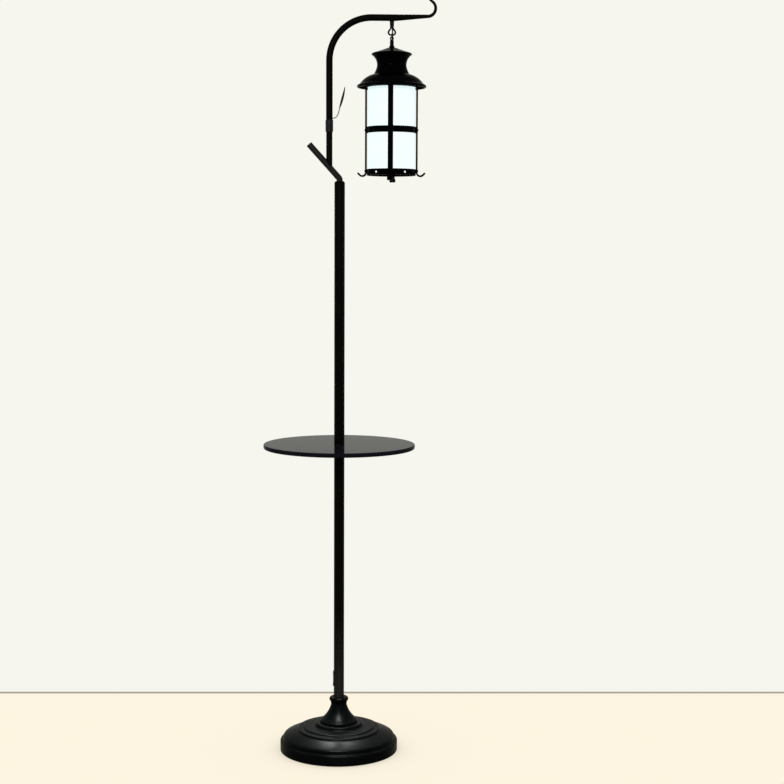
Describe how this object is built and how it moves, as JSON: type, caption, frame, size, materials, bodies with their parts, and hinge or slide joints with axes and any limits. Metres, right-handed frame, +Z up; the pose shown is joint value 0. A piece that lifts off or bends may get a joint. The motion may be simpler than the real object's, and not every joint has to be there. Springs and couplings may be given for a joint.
{
  "type": "lantern floor lamp",
  "caption": "Floor lamp with a stepped round base, a round side table on its pole, and a swivelling crook that carries a hanging cylindrical lantern.",
  "frame": {"origin": "on the floor under the pole's axis, at the middle of the base pad's underside", "axes": "+Z up along the pole, +X from the pole towards the hanging lantern, front of the lamp towards -Y"},
  "size_m": [0.3628, 0.322, 1.6021],
  "materials": {
    "black_paint": "satin black powder coat",
    "gloss_paint": "gloss black enamel on sheet metal",
    "cast_iron": "raw casting",
    "pad_foam": "closed-cell foam",
    "plated_steel": "zinc plated",
    "table_lacquer": "black lacquer, semi-gloss",
    "wire_sheath": "matt",
    "grommet_rubber": "matt",
    "brass": "satin",
    "bakelite": "moulded, smooth",
    "bulb_glass": "opal, lit",
    "frosted_glass": "frosted, lit from inside"
  },
  "bodies": {
    "root": {"base_pad": "pad_foam", "base_weight": "cast_iron", "base_cover": "black_paint", "neck_bell": "black_paint", "base_rod": "plated_steel", "base_nut": "plated_steel", "base_washer": "plated_steel", "lower_pole": "black_paint", "lower_foot_plug": "plated_steel", "lower_top_plug": "plated_steel", "inlet_plate": "black_paint", "inlet_screws": "plated_steel", "pole_nipple": "plated_steel", "table_top": "table_lacquer", "table_washer": "plated_steel", "upper_pole": "black_paint", "upper_foot_plug": "plated_steel", "pole_cap": "black_paint", "branch_tube": "black_paint", "branch_end_cap": "black_paint", "arm_post": "black_paint", "ferrule": "black_paint", "stop_screw": "plated_steel", "stand_wire": "wire_sheath"},
    "crook": {"crook_upright": "black_paint", "crook_bend": "black_paint", "crook_arm": "black_paint", "crook_scroll": "black_paint", "crook_wire": "wire_sheath", "leaf_stem": "black_paint", "leaf_blade": "black_paint", "hanger_loop": "black_paint", "arm_grommet": "grommet_rubber", "lead_upper": "wire_sheath"},
    "link": {"swing_ring": "black_paint"},
    "lantern": {"eye_bolt": "black_paint", "cap_collar": "black_paint", "lantern_cap": "gloss_paint", "chimney": "gloss_paint", "roof": "gloss_paint", "gallery": "gloss_paint", "bolt_nut": "plated_steel", "cap_grommet": "grommet_rubber", "lead_lower": "wire_sheath", "stirrup": "plated_steel", "holder_nipple": "brass", "holder_nuts": "brass", "lampholder": "bakelite", "holder_contact": "brass", "bulb_cap": "plated_steel", "bulb_glass": "bulb_glass", "glass_cylinder": "frosted_glass", "middle_band": "gloss_paint", "bottom_band": "gloss_paint", "strap_front": "gloss_paint", "strap_back": "gloss_paint", "strap_left": "gloss_paint", "strap_right": "gloss_paint", "strap_rivets": "gloss_paint", "glass_clips": "gloss_paint"}
  },
  "joints": [
    {"name": "crook_swivel", "type": "hinge", "parent": "root", "child": "crook", "pos_m": [-0.0218, 0, 1.338], "axis": [0, 0, 1], "range_deg": [-90, 90]},
    {"name": "ring_swing", "type": "hinge", "parent": "crook", "child": "link", "pos_m": [0.108, 0, 1.5198], "axis": [1, 0, 0], "range_deg": [-25, 25], "deforming": ["lead_upper"]},
    {"name": "lantern_swing", "type": "hinge", "parent": "link", "child": "lantern", "pos_m": [0.108, 0, 1.5134], "axis": [0, 1, 0], "range_deg": [-25, 8], "deforming": ["lead_lower"]}
  ]
}
